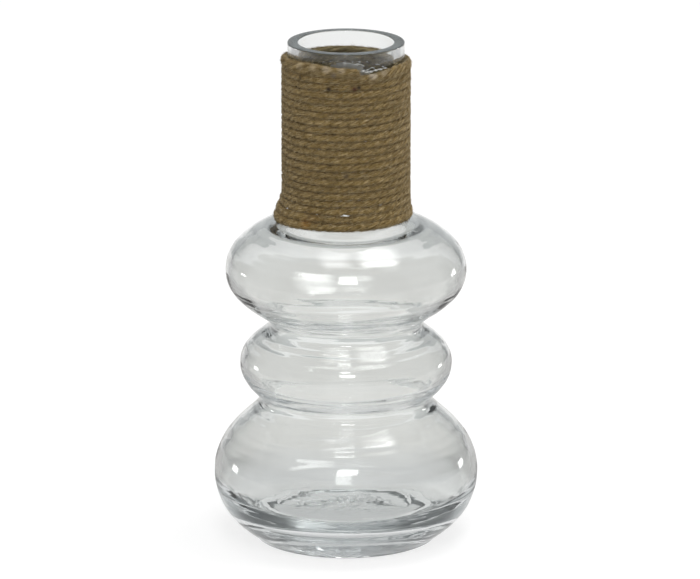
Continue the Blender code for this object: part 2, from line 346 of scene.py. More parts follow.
# Softboxes: azimuth and elevation in degrees, distance, size, watts and softness of the edge
SOFTBOXES = {
    "front_softbox": (2.0, 44.0, 1.6, (0.48, 0.38), 7.0, 0.35),
    "overhead_softbox": (106.0, 72.0, 1.4, (0.90, 0.74), 14.5, 0.7),
    "ceiling_softbox": (-90.0, 84.0, 1.4, (0.80, 0.56), 5.3, 0.7),
    "left_softbox": (-113.0, 1.0, 1.6, (0.36, 0.20), 2.4, 0.7),
    "right_softbox": (122.0, 1.0, 1.6, (0.36, 0.20), 2.4, 0.7),
    "fill_softbox": (78.0, 30.0, 1.6, (0.50, 0.50), 3.0, 0.7),
}

# Share of light left in the studio's corners, and how far each corner reaches
CORNER_LIGHT = 0.38
CORNER_REACH = 0.6

# The studio's walls as glass sees them, from the level of the table to straight overhead
WALL_COLOURS = ((0.0, "d2d4d4"), (0.12, "c4c7c7"), (0.3, "b2b5b6"), (0.6, "8e9295"), (1.0, "6a6e72"))
WORLD_LIGHT = 0.6

# The floor as glass sees it, by distance from the vase's axis, in painted light: brighter just outside
# the foot and far off, dimmer between
FLOOR_SIZE = 12.0
FLOOR_PAINTED_LIGHT = (
    (0.034, "d7d8d9"), (0.042, "f0f0f0"), (0.052, "f0f0f0"), (0.064, "d7d8d9"),
    (0.14, "d6d5d2"), (0.45, "d3d2cf"), (0.62, "dadad8"), (0.76, "fafafa"),
)
FLOOR_CORNERS = (0.05, 0.12)
FLOOR_GLOW = 0.76

# Bounces of light that thick glass needs before it shows the studio and not black
MIRROR_BOUNCES = 24
GLASS_BOUNCES = 32

# Sockets of the Mix node, which go by number because they share their names, and a soft step
FACTOR, VALUE_A, VALUE_B, COLOUR_A, COLOUR_B = 0, 2, 3, 6, 7
SMOOTH = {"interpolation_type": "SMOOTHSTEP"}

# What is known at each point of the twine beside its place along it
TWINE_FRAME = ("centre", "outward", "upward")

RING_HEIGHTS = np.cumsum([ring[0] for ring in RINGS.values()])
_, LOWER_WAIST, _, UPPER_WAIST, UPPER_BULGE = RING_HEIGHTS
NECK_START = float(UPPER_BULGE) + UPPER_BULGE_TO_NECK
RIM_HEIGHT = NECK_START + NECK_LENGTH
PITCH = (RIM_HEIGHT - BARE_NECK - LOWEST_TURN) / TURNS


def srgb(code):
    """Linear colour with alpha from an sRGB hex code such as "a08c66"."""
    channels = [int(code[i:i + 2], 16) / 255.0 for i in (0, 2, 4)]
    linear = [c / 12.92 if c <= 0.04045 else ((c + 0.055) / 1.055) ** 2.4 for c in channels]
    return (*linear, 1.0)


def add(tree, kind, inputs=None, stops=None, **settings):
    """Adds a node. Its inputs are values, outputs, or nodes whose first output is linked.

    Stops are the places and sRGB colours of a colour ramp.
    """
    node = tree.nodes.new("ShaderNode" + kind)
    for name, value in settings.items():
        setattr(node, name, value)
    for socket, value in (inputs or {}).items():
        if isinstance(value, bpy.types.Node):
            value = next(output for output in value.outputs if output.enabled)
        if isinstance(value, bpy.types.NodeSocket):
            tree.links.new(value, node.inputs[socket])
        else:
            node.inputs[socket].default_value = value
    if stops:
        elements = node.color_ramp.elements
        while len(elements) < len(stops):
            elements.new(1.0)
        for element, (place, colour) in zip(elements, stops):
            element.position = place
            element.color = srgb(colour)
    return node


def blank_tree(owner):
    """Empty node tree of a material, a world or a lamp."""
    owner.use_nodes = True
    owner.node_tree.nodes.clear()
    return owner.node_tree


def blank_material(name):
    material = bpy.data.materials.new(name)
    return material, blank_tree(material)


def clear_selection():
    """Leaves nothing selected, so that an operator acts on the new piece alone."""
    for other in bpy.context.view_layer.objects:
        other.select_set(False)


def ease(value):
    """0 below 0, 1 above 1, and a smooth rise between them."""
    held = np.clip(value, 0.0, 1.0)
    return held * held * (3.0 - 2.0 * held)


def unit(vectors):
    """The vectors at length 1."""
    return vectors / np.linalg.norm(vectors, axis=-1, keepdims=True)


def square_to(vectors, ahead):
    """The vectors turned square to the direction ahead, at length 1."""
    return unit(vectors - ahead * np.sum(vectors * ahead, axis=1)[:, None])


def between(at, places, points):
    """Points at some places along a line, from its points at known places."""
    return np.stack([np.interp(at, places, points[:, i]) for i in range(3)], axis=-1)


def bezier(start, start_pull, end_pull, end, steps):
    """Points of a curve from start up to, but without, end."""
    along = np.arange(steps) / steps
    back = 1.0 - along
    return (
        np.outer(back ** 3, start)
        + np.outer(3.0 * back ** 2 * along, start_pull)
        + np.outer(3.0 * back * along ** 2, end_pull)
        + np.outer(along ** 3, end)
    )


def fillet_point(angle, wall=0.0):
    """Point of the round between shoulder and neck, or of the inside behind it."""
    reach = ROOT_FILLET + wall
    return NECK_RADIUS + ROOT_FILLET - reach * math.cos(angle), NECK_START - reach * math.sin(angle)


def glass_side():
    """Outside from the lower bulge's widest ring to the neck, with the wall at each point."""
    points = []
    walls = []
    rings = list(zip(RING_HEIGHTS, RINGS.values()))
    for (height, (_, radius, roundness, wall)), (next_height, following) in zip(rings, rings[1:]):
        _, next_radius, next_roundness, next_wall = following
        rise = next_height - height
        pull = (radius, height + roundness * rise)
        next_pull = (next_radius, next_height - next_roundness * rise)
        curve = bezier((radius, height), pull, next_pull, (next_radius, next_height), CURVE_STEPS)
        waist_height = height if radius < next_radius else next_height
        gather = WAIST_GATHER / (1.0 + ((curve[:, 1] - waist_height) / WAIST_GATHER_REACH) ** 2)
        points.append(curve)
        walls.append(np.interp(curve[:, 1], (height, next_height), (wall, next_wall)) + gather)
    height, (_, radius, roundness, wall) = rings[-1]
    top = fillet_point(math.pi / 2.0 - SHOULDER_FALL)
    pull = (radius, height + roundness * (top[1] - height))
    top_pull = (
        top[0] + SHOULDER_PULL * math.cos(SHOULDER_FALL),
        top[1] - SHOULDER_PULL * math.sin(SHOULDER_FALL),
    )
    shoulder = bezier((radius, height), pull, top_pull, top, CURVE_STEPS)
    step = STEP_DEPTH * ease((STEP_RADIUS + STEP_WIDTH / 2.0 - shoulder[:, 0]) / STEP_WIDTH)
    points.append(shoulder)
    walls.append(np.interp(shoulder[:, 1], (height, top[1]), (wall, ROOT_WALL)) + step)
    return np.vstack(points), np.concatenate(walls)


def glass_foot():
    """Underside, foot ring and heel, from under the middle up to the lower bulge's widest ring."""
    foot_inner = FOOT_RADIUS - FOOT_RING_WIDTH
    hollow = bezier(
        (0.0, HOLLOW_HEIGHT),
        (foot_inner * 0.5, HOLLOW_HEIGHT),
        (foot_inner - HOLLOW_HEIGHT, HOLLOW_HEIGHT),
        (foot_inner, 0.0),
        HOLLOW_STEPS,
    )
    turn = np.linspace(0.0, math.pi / 2.0, RIM_STEPS + 1)
    edge = np.column_stack([np.sin(turn) - 1.0, 1.0 - np.cos(turn)]) * FOOT_EDGE + (FOOT_RADIUS, 0.0)
    height, radius, roundness, _ = RINGS["lower_bulge"]
    heel = bezier(
        (FOOT_RADIUS, FOOT_EDGE),
        (FOOT_RADIUS + HEEL_PULL * math.cos(HEEL_LEAN), FOOT_EDGE + HEEL_PULL * math.sin(HEEL_LEAN)),
        (radius, height * (1.0 - roundness)),
        (radius, height),
        CURVE_STEPS,
    )
    return [hollow, [(foot_inner, 0.0)], edge, heel[1:]]


def glass_floor(start):
    """Inside of the base, from the lower bulge's widest ring down to the well's middle."""
    bowl = bezier(
        start,
        (start[0], start[1] - BULGE_ROUNDNESS * (start[1] - FLOOR_HEIGHT)),
        (FLOOR_RADIUS + FLOOR_PULL, FLOOR_HEIGHT),
        (FLOOR_RADIUS, FLOOR_HEIGHT),
        CURVE_STEPS,
    )
    well_floor = FLOOR_HEIGHT - WELL_DEPTH
    well_foot = WELL_RADIUS - WELL_EDGE * WELL_FOOT
    well = bezier(
        (WELL_RADIUS + WELL_EDGE, FLOOR_HEIGHT),
        (WELL_RADIUS + WELL_EDGE * WELL_PULLS[0], FLOOR_HEIGHT),
        (WELL_RADIUS + WELL_EDGE * WELL_PULLS[1], well_floor),
        (well_foot, well_floor),
        2 * RIM_STEPS,
    )
    inwards = np.linspace(well_foot, 0.0, FLOOR_STEPS + 1)
    middle = np.column_stack([inwards, np.full(FLOOR_STEPS + 1, well_floor)])
    return [bowl, [(FLOOR_RADIUS, FLOOR_HEIGHT)], well, middle]


def glass_section():
    """Half section of the glass, from under its middle round the outside to the floor inside."""
    side, walls = glass_side()
    angles = np.linspace(math.pi / 2.0 - SHOULDER_FALL, 0.0, FILLET_STEPS + 1)
    thick = np.linspace(walls[-1], NECK_WALL, FILLET_STEPS + 1)
    outside_fillet = np.array([fillet_point(angle) for angle in angles])
    inside_fillet = np.array([fillet_point(angle, wall) for angle, wall in zip(angles, thick)])
    turn = np.linspace(0.0, math.pi / 2.0, RIM_STEPS + 1)
    round_in = RIM_EDGE * (1.0 - np.cos(turn))
    round_up = RIM_HEIGHT - RIM_EDGE + RIM_EDGE * np.sin(turn)
    rim_out = np.column_stack([NECK_RADIUS - round_in, round_up])
    rim_in = np.column_stack([NECK_RADIUS - NECK_WALL + round_in, round_up])[::-1]
    neck_rise = np.linspace(NECK_START, RIM_HEIGHT - RIM_EDGE, NECK_STEPS + 2)[1:-1]
    neck_rise = np.append(neck_rise, RIM_HEIGHT - 2.0 * RIM_EDGE)
    neck_out = np.column_stack([np.full(NECK_STEPS + 1, NECK_RADIUS), neck_rise])
    neck_in = (neck_out - (NECK_WALL, 0.0))[::-1]
    following = np.vstack([side[1:], outside_fillet[0]])
    before = np.vstack([side[0] - (0.0, BULGE_WALL), side[:-1]])
    along = unit(following - before)
    inner = side + np.column_stack([-along[:, 1], along[:, 0]]) * walls[:, None]
    outside = [*glass_foot(), side, outside_fillet, neck_out, rim_out]
    inside = [rim_in, neck_in, inside_fillet[::-1], inner[:0:-1], *glass_floor(inner[0])]
    return np.vstack(outside + inside)


def turned_piece(name, section):
    """A line in the XZ plane, drawn as a curve and spun round the Z axis into a closed mesh."""
    clear_selection()
    bpy.ops.curve.primitive_bezier_curve_add(location=(0.0, 0.0, 0.0))
    line = bpy.context.object
    line.name = name
    line.data.splines.clear()
    spline = line.data.splines.new("POLY")
    spline.points.add(len(section) - 1)
    for point, (radius, height) in zip(spline.points, section):
        point.co = (radius, 0.0, height, 1.0)
    line.data.dimensions = "3D"
    bpy.ops.object.convert(target="MESH")
    piece = bpy.context.object
    bpy.ops.object.mode_set(mode="EDIT")
    bpy.ops.mesh.select_all(action="SELECT")
    bpy.ops.mesh.spin(steps=GLASS_STEPS, angle=math.tau, axis=(0.0, 0.0, 1.0))
    bpy.ops.mesh.select_all(action="SELECT")
    bpy.ops.mesh.remove_doubles(threshold=MERGE)
    bpy.ops.mesh.normals_make_consistent(inside=False)
    bpy.ops.object.mode_set(mode="OBJECT")
    piece.data.name = name
    return piece


def vertex_values(piece, kind):
    """Places ("co") or normals ("normal") of a piece's vertices, a row for each."""
    values = np.empty(3 * len(piece.data.vertices))
    piece.data.vertices.foreach_get(kind, values)
    return values.reshape(-1, 3)


def wave_strength(azimuth, radius, height, inside):
    """How strong the ripples are, how much more the short ones are, and how near the neck's root is."""
    away = np.minimum(np.abs(height - LOWER_WAIST), np.abs(height - UPPER_WAIST))
    waist = ease(2.0 * (1.0 - away / WAIST_RIPPLE_REACH))
    waist *= 1.0 - (1.0 - SIDE_CALM) * ease((np.abs(np.sin(azimuth)) - SIDE_FADE[0]) / SIDE_FADE[1])
    away = np.abs(height - UPPER_BULGE)
    upper = ease(2.0 * (1.0 - away / WAIST_RIPPLE_REACH)) * (1.0 - inside)
    near_neck = ease((SHOULDER_FADE[0] - radius) / SHOULDER_FADE[1]) * (height > UPPER_BULGE)
    near_neck *= ease((NECK_START + NECK_FADE - height) / NECK_FADE)
    scale = np.where(inside, INSIDE_RIPPLES, 1.0)
    scale *= 1.0 - (1.0 - SHOULDER_CALM) * near_neck
    scale *= 1.0 - (1.0 - NECK_CALM) * ease((height - NECK_START) / NECK_FADE)
    scale *= 1.0 - (1.0 - HEEL_CALM) * ease((HEEL_FADE[0] - height) / HEEL_FADE[1]) * (1.0 - inside)
    scale *= 1.0 - (1.0 - BACK_CALM) * ease(-2.0 * np.cos(azimuth))
    return scale, (WAIST_RIPPLES - 1.0) * waist + (UPPER_RIPPLES - 1.0) * upper, near_neck


def wave_floor(places, azimuth, radius, height):
    """Lays shallow waves into the floor, and lets the well's edge wander."""
    on_floor = (height > FLOOR_HEIGHT - 2.0 * WELL_DEPTH) & (height < FLOOR_HEIGHT + FLOOR_SKIN)
    on_floor &= radius < FLOOR_RADIUS + FLOOR_MARGIN
    for i in np.nonzero(on_floor)[0]:
        spot = Vector(places[i]) / FLOOR_WAVE_LENGTH
        wavy = noise.noise(spot) + 0.5 * noise.noise(spot * 2.3)
        near_edge = math.exp(-((radius[i] - WELL_RADIUS) / WELL_WANDER_REACH) ** 2)
        swing = math.sin(3.0 * azimuth[i] + 0.7)
        swing += 0.8 * math.sin(7.0 * azimuth[i]) * (azimuth[i] < 0.0)
        stretch = 1.0 + WELL_WANDER * swing * near_edge / max(radius[i], 0.001)
        places[i, 0] *= stretch
        places[i, 1] *= stretch
        places[i, 2] += FLOOR_WAVE * wavy


def wave_glass(piece):
    """Lays the maker's waves into the glass: rings that wander on their way round, never proud."""
    rng = np.random.default_rng(GLASS_SEED)
    places = vertex_values(piece, "co")
    normals = vertex_values(piece, "normal")
    azimuth = np.arctan2(places[:, 0], -places[:, 1])
    radius = np.hypot(places[:, 0], places[:, 1])
    height = places[:, 2].copy()
    inside = (normals[:, 0] * places[:, 0] + normals[:, 1] * places[:, 1]) < 0.0
    level = np.abs(normals[:, 2])
    upright = np.sqrt(np.maximum(1.0 - level ** 2, 0.0))
    scale, deeper, near_neck = wave_strength(azimuth, radius, height, inside)
    depth = np.zeros(len(places))
    wide, narrow = RIPPLE_DRIFT
    even, uneven, slant = RIPPLE_PATCH
    for length, wave in RIPPLES:
        swell = scale * (1.0 + deeper * (length < SHORT_RIPPLE))
        for along, share in ((height, upright), (radius, level)):
            shift = rng.uniform(0.0, math.tau, RIPPLE_SHIFTS)
            start = np.where(inside, shift[0], shift[1])
            drift = wide * np.sin(azimuth + shift[2]) + narrow * np.sin(2.0 * azimuth + shift[3])
            patch = even + uneven * np.sin(3.0 * azimuth + slant * along / length + shift[4])
            wander = math.tau * along / length + start + drift
            depth += wave * swell * share * (patch * np.sin(wander) - 1.0)
    bend, bend_length = UPRIGHT_DRIFT
    even, uneven, beat_length = UPRIGHT_BEAT
    for waves, zone in ((UPRIGHT_WAVES, height < NECK_START), (NECK_WAVES, height >= NECK_START)):
        for number, wave in waves:
            shift = rng.uniform(0.0, math.tau, 2)
            drift = bend * np.sin(height / bend_length + shift[0]) * (height < NECK_START)
            beat = even + uneven * np.sin(3.0 * azimuth + height / beat_length + shift[1])
            swell = zone * (1.0 - near_neck) * inside
            depth += wave * swell * (beat * np.sin(number * azimuth + drift) - 1.0)
    fade = ease((height - FOOT_FADE[0]) / FOOT_FADE[1])
    fade *= ease((RIM_HEIGHT - RIM_FADE[0] - height) / RIM_FADE[1])
    places += normals * (depth * fade)[:, None]
    wave_floor(places, azimuth, radius, height)
    piece.data.vertices.foreach_set("co", places.ravel())
    piece.data.update()


def glass_material(name, roughness, clearness):
    """Clear soda-lime glass, almost colourless: fire-polished, or finely ground where it is rough.

    Level streaks 2 mm high, left in its skin by the turning, break up what it mirrors.
    """
    material, tree = blank_material(name)
    where = add(tree, "TexCoord").outputs["Object"]
    level = add(tree, "Mapping", {"Vector": where, "Scale": (45.0, 45.0, 600.0)})
    streaks = add(tree, "TexNoise", {"Vector": level, "Scale": 1.0, "Detail": 1.0})
    skin = {
        "Base Color": srgb("f9faf9"),
        "Roughness": roughness,
        "IOR": 1.52,
        "Transmission Weight": clearness,
        "Normal": add(tree, "Bump", {"Distance": 0.00002, "Height": streaks}),
    }
    shader = add(tree, "BsdfPrincipled", skin)
    body = add(tree, "VolumeAbsorption", {"Color": srgb("e2e6e7"), "Density": 12.0})
    add(tree, "OutputMaterial", {"Surface": shader, "Volume": body})
    return material


def make_glass():
    glass = turned_piece("glass_vessel", glass_section())
    wave_glass(glass)
    glass.data.materials.append(glass_material("clear_soda_lime_glass", roughness=0.0, clearness=1.0))
    glass.data.materials.append(glass_material("ground_glass_rim", roughness=0.24, clearness=0.98))
    for face in glass.data.polygons:
        if face.normal.z > 0.9 and face.center.z > RIM_HEIGHT - RIM_EDGE:
            face.material_index = 1
    clear_selection()
    glass.select_set(True)
    bpy.context.view_layer.objects.active = glass
    bpy.ops.object.shade_smooth_by_angle(angle=SHARP_EDGE)
    return glass


def around(radius, azimuth, height):
    """Point at an azimuth counted from the front, -Y, towards the right, +X."""
    return np.array([radius * math.sin(azimuth), -radius * math.cos(azimuth), height])


def last_turn_rise(turn):
    """How far the frayed last turn stands above the even winding."""
    return np.interp(TURNS - turn, *np.array(LAST_TURN_RISE).T)


def turn_shift(turn):
    """How far a turn lies above its place in an even winding, as in the photograph."""
    widths = np.array(TURN_WIDTHS)
    shift = np.cumsum(widths) - widths / 2.0 - PITCH * np.arange(len(widths))
    shift -= shift.mean()
    front = -ROOT_AZIMUTH / math.tau
    return TURN_FOLLOW * np.interp(turn, np.arange(len(widths)) + front, shift)


def thin_place(turn):
    """1 where two neighbouring turns part and show a glint of glass, else 0."""
    return np.exp(-(((turn - THIN_PLACE) / THIN_LENGTH) ** 2))


def twine_place(turn):
    """Centre of the twine, this many turns above its lowest place."""
    azimuth = ROOT_AZIMUTH + math.tau * turn
    off_side = (azimuth - SPREAD_SIDE + math.pi) % math.tau - math.pi
    lobe = math.cos(min(abs(off_side) / SPREAD_HALF_WIDTH, 1.0) * math.pi / 2.0) ** 2
    fade = min(max(1.0 - turn / SPREAD_TURNS, 0.0), 1.0)
    spread = SPREAD * lobe * fade
    wander = WANDER * (math.sin(2.3 * turn + 1.0) + math.sin(azimuth * 2.0 + turn * 1.7))
    height = LOWEST_TURN + PITCH * turn + turn_shift(turn) + wander + last_turn_rise(turn) / 2.0
    height -= SPREAD_SINK * spread
    height += THIN_GAP * (thin_place(turn - 1.0) - thin_place(turn))
    lowest = float(ease(1.0 - turn / LOWEST_TURNS))
    height -= LOWEST_SAG * lowest
    return around(NECK_RADIUS + TWINE_DEPTH + spread + LOWEST_SPREAD * lowest, azimuth, height)


def twine_line():
    """Points along the twine's centre, evenly spaced, with their outward and upward directions."""
    turns = np.linspace(-TAIL_TURNS, TURNS, COARSE_STEPS)
    coarse = np.array([twine_place(turn) for turn in turns])
    reached = np.concatenate([[0.0], np.cumsum(np.linalg.norm(np.diff(coarse, axis=0), axis=1))])
    places = np.linspace(0.0, reached[-1], int(reached[-1] / PLY_STEP) + 1)
    centre = between(places, reached, coarse)
    turn = np.interp(places, reached, turns)
    width = np.interp(turn, np.arange(len(TURN_WIDTHS)), TURN_WIDTHS) / PITCH - 1.0
    swell = 1.0 + WIDTH_FOLLOW * width + THIN_SWELL * (thin_place(turn) + thin_place(turn - 1.0))
    spread = np.hypot(centre[:, 0], centre[:, 1]) - NECK_RADIUS - TWINE_DEPTH
    swell += SPREAD_SWELL * ease(spread / SPREAD * 2.0) + LOW_SWELL * ease((LOW_TURNS - turn) / 2.0)
    swell += LOWEST_SWELL * ease(SPREAD_TURNS - turn)
    ahead = unit(np.gradient(centre, axis=0))
    outward = square_to(centre * (1.0, 1.0, 0.0), ahead)
    return {
        "along": places,
        "centre": centre,
        "outward": outward,
        "upward": np.cross(outward, ahead),
        "rise": last_turn_rise(turn),
        "swell": swell,
    }


def link_mesh(name, verts, faces, uvs, material):
    """New piece from points and faces, with a UV map that follows the strand."""
    mesh = bpy.data.meshes.new(name)
    mesh.materials.append(material)
    mesh.from_pydata(verts.tolist(), [], faces)
    layer = mesh.uv_layers.new(name="strand")
    layer.data.foreach_set("uv", np.array(uvs, float).ravel())
    mesh.shade_smooth()
    piece = bpy.data.objects.new(name, mesh)
    bpy.context.scene.collection.objects.link(piece)
    return piece


def ring_points(lines, side_a, side_b, radii):
    """Points round each point of some lines, at a radius for each way round."""
    angles = math.tau * np.arange(radii.shape[-1]) / radii.shape[-1]
    across = (radii * np.cos(angles))[..., None] * side_a[..., None, :]
    rings = lines[..., None, :] + across + (radii * np.sin(angles))[..., None] * side_b[..., None, :]
    return rings.reshape(-1, 3)


def tube_mesh(name, line, side_a, side_b, radii, along, material):
    """Closed tube along a line, with a fan of faces at each end."""
    count, sides = radii.shape
    verts = np.vstack([ring_points(line, side_a, side_b, radii), line[:1], line[-1:]])
    faces = []
    uvs = []
    for i in range(count - 1):
        here, there = along[i], along[i + 1]
        for j in range(sides):
            k = (j + 1) % sides
            low, high = j / sides, (j + 1) / sides
            faces.append((i * sides + j, i * sides + k, (i + 1) * sides + k, (i + 1) * sides + j))
            uvs.extend(((here, low), (here, high), (there, high), (there, low)))
    first, last = count * sides, count * sides + 1
    top = (count - 1) * sides
    for j in range(sides):
        k = (j + 1) % sides
        faces.append((first, k, j))
        faces.append((last, top + j, top + k))
        uvs.extend([(along[0], 0.5)] * 3 + [(along[-1], 0.5)] * 3)
    return link_mesh(name, verts, faces, uvs, material)


def smooth_noise(places, unevenness, rng):
    """Values that change smoothly over a length, up to a strength either way."""
    strength, length = unevenness
    knots = rng.uniform(-1.0, 1.0, int(places[-1] / length) + 3)
    along = places / length
    first = along.astype(int)
    part = ease(along - first)
    return strength * (knots[first] * (1.0 - part) + knots[first + 1] * part)


def make_plies(twine, jute):
    """The three plies of the twine, each one unbroken strand, lumpy as hand-spun jute is."""
    places = twine["along"]
    slack = 1.0 + twine["rise"] / 2.0 / PLY_OFFSET
    loose = ease((places - places[-1] + LOOSE_LENGTH) / (LOOSE_BLEND * LOOSE_LENGTH))
    twist = math.tau / PLY_LAY * np.cumsum(PLY_STEP * (1.0 - LOOSE_SHARE * loose))
    angles = math.tau * np.arange(PLY_SIDES) / PLY_SIDES
    root_radius, root_height = fillet_point(math.pi / 2.0 - SHOULDER_FALL)
    plies = []
    for ply in range(3):
        rng = np.random.default_rng(PLY_SEED + ply)
        angle = twist + math.tau * ply / 3.0 + smooth_noise(places, PLY_LAG, rng)
        sway = PLY_OFFSET * (1.0 + smooth_noise(places, PLY_SWAY, rng))
        line = (
            twine["centre"]
            + (np.cos(angle) * sway * FLATNESS)[:, None] * twine["outward"]
            + (np.sin(angle) * sway * slack)[:, None] * twine["upward"]
        )
        reach = np.hypot(line[:, 0], line[:, 1])
        push = np.maximum(NECK_RADIUS + PLY_RADIUS * FLATNESS - reach, 0.0)
        line += line * (1.0, 1.0, 0.0) / reach[:, None] * push[:, None]
        shoulder = root_height - (reach + push - root_radius) * math.tan(SHOULDER_FALL)
        line[:, 2] = np.maximum(line[:, 2], shoulder + SHOULDER_PRESS * PLY_RADIUS)
        ahead = unit(np.gradient(line, axis=0))
        side_a = square_to(twine["outward"], ahead)
        side_b = np.cross(ahead, side_a)
        swell = twine["swell"] + smooth_noise(places, PLY_LUMPS, rng) + FRAY_SWELL * (slack - 1.0)
        radii = PLY_RADIUS * swell[:, None] * np.ones(PLY_SIDES)
        for lobes, share in PLY_LOBES:
            roll = PLY_TWIST * twist + smooth_noise(places, PLY_ROLL, rng)
            radii *= 1.0 + share * np.cos(lobes * angles[None, :] + roll[:, None])
        name = f"twine_ply_{ply + 1}"
        plies.append(tube_mesh(name, line, side_a * FLATNESS, side_b, radii, places, jute))
    return plies


def fibre_mesh(name, lines, shades, material):
    """Thin three-sided fibres that taper to their ends, one for each line of points."""
    ahead = unit(np.gradient(lines, axis=1))
    side_a = unit(np.cross(ahead, ASKEW))
    side_b = np.cross(ahead, side_a)
    taper = FIBRE_RADIUS * (1.0 - FIBRE_TAPER * FIBRE_PARTS ** 2)
    verts = ring_points(lines, side_a, side_b, taper[:, None] * np.ones(FIBRE_SIDES))
    faces = []
    uvs = []
    for fibre, shade in enumerate(shades):
        first = fibre * FIBRE_STEPS * FIBRE_SIDES
        last = first + (FIBRE_STEPS - 1) * FIBRE_SIDES
        for here in range(first, last, FIBRE_SIDES):
            there = here + FIBRE_SIDES
            for j in range(FIBRE_SIDES):
                k = (j + 1) % FIBRE_SIDES
                faces.append((here + j, here + k, there + k, there + j))
        faces.append(tuple(range(first, first + FIBRE_SIDES))[::-1])
        faces.append(tuple(range(last, last + FIBRE_SIDES)))
        uvs.extend([shade] * (4 * (last - first) + 2 * FIBRE_SIDES))
    return link_mesh(name, verts, faces, uvs, material)


def skin_fibres(twine, rng, count, length, lift, root, span=None, side=ALL_ROUND):
    """Fibres that leave the twine's skin along its lay, on a span of the twine or on all of it."""
    places = twine["along"]
    start = rng.uniform(*(span or (places[0], places[-1] - length[1])), (count, 1))
    reach = rng.uniform(*length, (count, 1)) * rng.choice((-1.0, 1.0), (count, 1))
    first_angle = rng.uniform(*side, (count, 1))
    turn = rng.uniform(*FIBRE_TURN, (count, 1)) * np.sign(reach)
    rise = rng.uniform(*lift, (count, 1))
    at = np.clip(start + reach * FIBRE_PARTS, places[0], places[-1])
    angle = first_angle + turn * FIBRE_PARTS
    out = TWINE_RADIUS - root + rise * FIBRE_PARTS ** FIBRE_CURVE
    flat_out = (out - TWINE_RADIUS + TWINE_DEPTH) * np.cos(angle)
    up = (out + np.interp(at, places, twine["rise"]) / 2.0) * np.sin(angle)
    centre, outward, upward = (between(at, places, twine[kind]) for kind in TWINE_FRAME)
    return centre + flat_out[..., None] * outward + up[..., None] * upward


def matted_fibres(twine, rng):
    """Fibres that lie across the creases from turn to turn, pressed flat as the twine was wound."""
    places = twine["along"]
    each = (MATTED_FIBRES, 1)
    start = rng.uniform(places[0], places[-1], each)
    start[:MATTED_FIBRES // MATTED_FOOT] *= MATTED_FOOT_TURNS / TURNS
    centre = between(start, places, twine["centre"])
    radius = np.hypot(centre[..., 0], centre[..., 1]) + TWINE_DEPTH
    radius += rng.uniform(*MATTED_DEPTH, each)
    azimuth = np.arctan2(centre[..., 0], -centre[..., 1])
    height = centre[..., 2] + rng.uniform(-0.5, 0.5, each) * PITCH
    lean = rng.normal(*MATTED_LEAN, each)
    bend = rng.normal(0.0, MATTED_BEND, each)
    length = rng.uniform(*MATTED_LENGTH, each)
    part = FIBRE_PARTS - 0.5
    way = lean + bend * part
    side = azimuth + length * part * np.cos(way) / radius
    out = radius - MATTED_SINK * (2.0 * part) ** 4
    up = np.minimum(height + length * part * np.sin(way), RIM_HEIGHT - BARE_NECK + TWINE_RADIUS)
    return np.stack([out * np.sin(side), -out * np.cos(side), up], axis=-1)


def end_fibres(twine, rng):
    """Fibres that splay from the twine's cut upper end."""
    centre, outward, upward = (twine[kind][-1] for kind in TWINE_FRAME)
    way = centre - twine["centre"][-4]
    way /= np.linalg.norm(way)
    reach = rng.uniform(*END_LENGTH, (END_FIBRES, 1))
    side = rng.uniform(-1.0, 1.0, (END_FIBRES, 2)) * END_WIDTH
    splay = rng.normal(0.0, END_SPLAY, (END_FIBRES, 2))
    off = side[:, None] + splay[:, None] * (reach * FIBRE_PARTS ** END_CURVE)[..., None]
    lines = centre + way * (reach * FIBRE_PARTS)[..., None]
    return lines + off[..., :1] * outward + off[..., 1:] * upward


def make_fibres(twine, jute):
    """Loose fibres: most lie along the skin, some stand off it, and the cut end frays."""
    rng = np.random.default_rng(FIBRE_SEED)
    foot, last = twine["along"][0], twine["along"][-1]
    turn = math.tau * (NECK_RADIUS + TWINE_RADIUS)
    last_turn = (last - turn, last)
    lowest = (foot, foot + FOOT_TURNS * turn)
    bundles = {
        "twine_lying_fibres": skin_fibres(twine, rng, **LYING),
        "twine_wild_fibres": skin_fibres(twine, rng, **WILD),
        "twine_matted_fibres_1": matted_fibres(twine, rng),
        "twine_matted_fibres_2": matted_fibres(twine, rng),
        "twine_frayed_turn": skin_fibres(twine, rng, **FRAYED, span=last_turn),
        "twine_foot_fibres": skin_fibres(twine, rng, **FOOT, span=lowest, side=DOWNWARDS),
        "twine_end_fibres": end_fibres(twine, rng),
    }
    pieces = []
    for name, lines in bundles.items():
        shades = np.column_stack([rng.uniform(0.0, span, len(lines)) for span in SHADE_SPAN])
        pieces.append(fibre_mesh(name, lines, shades, jute))
    return pieces


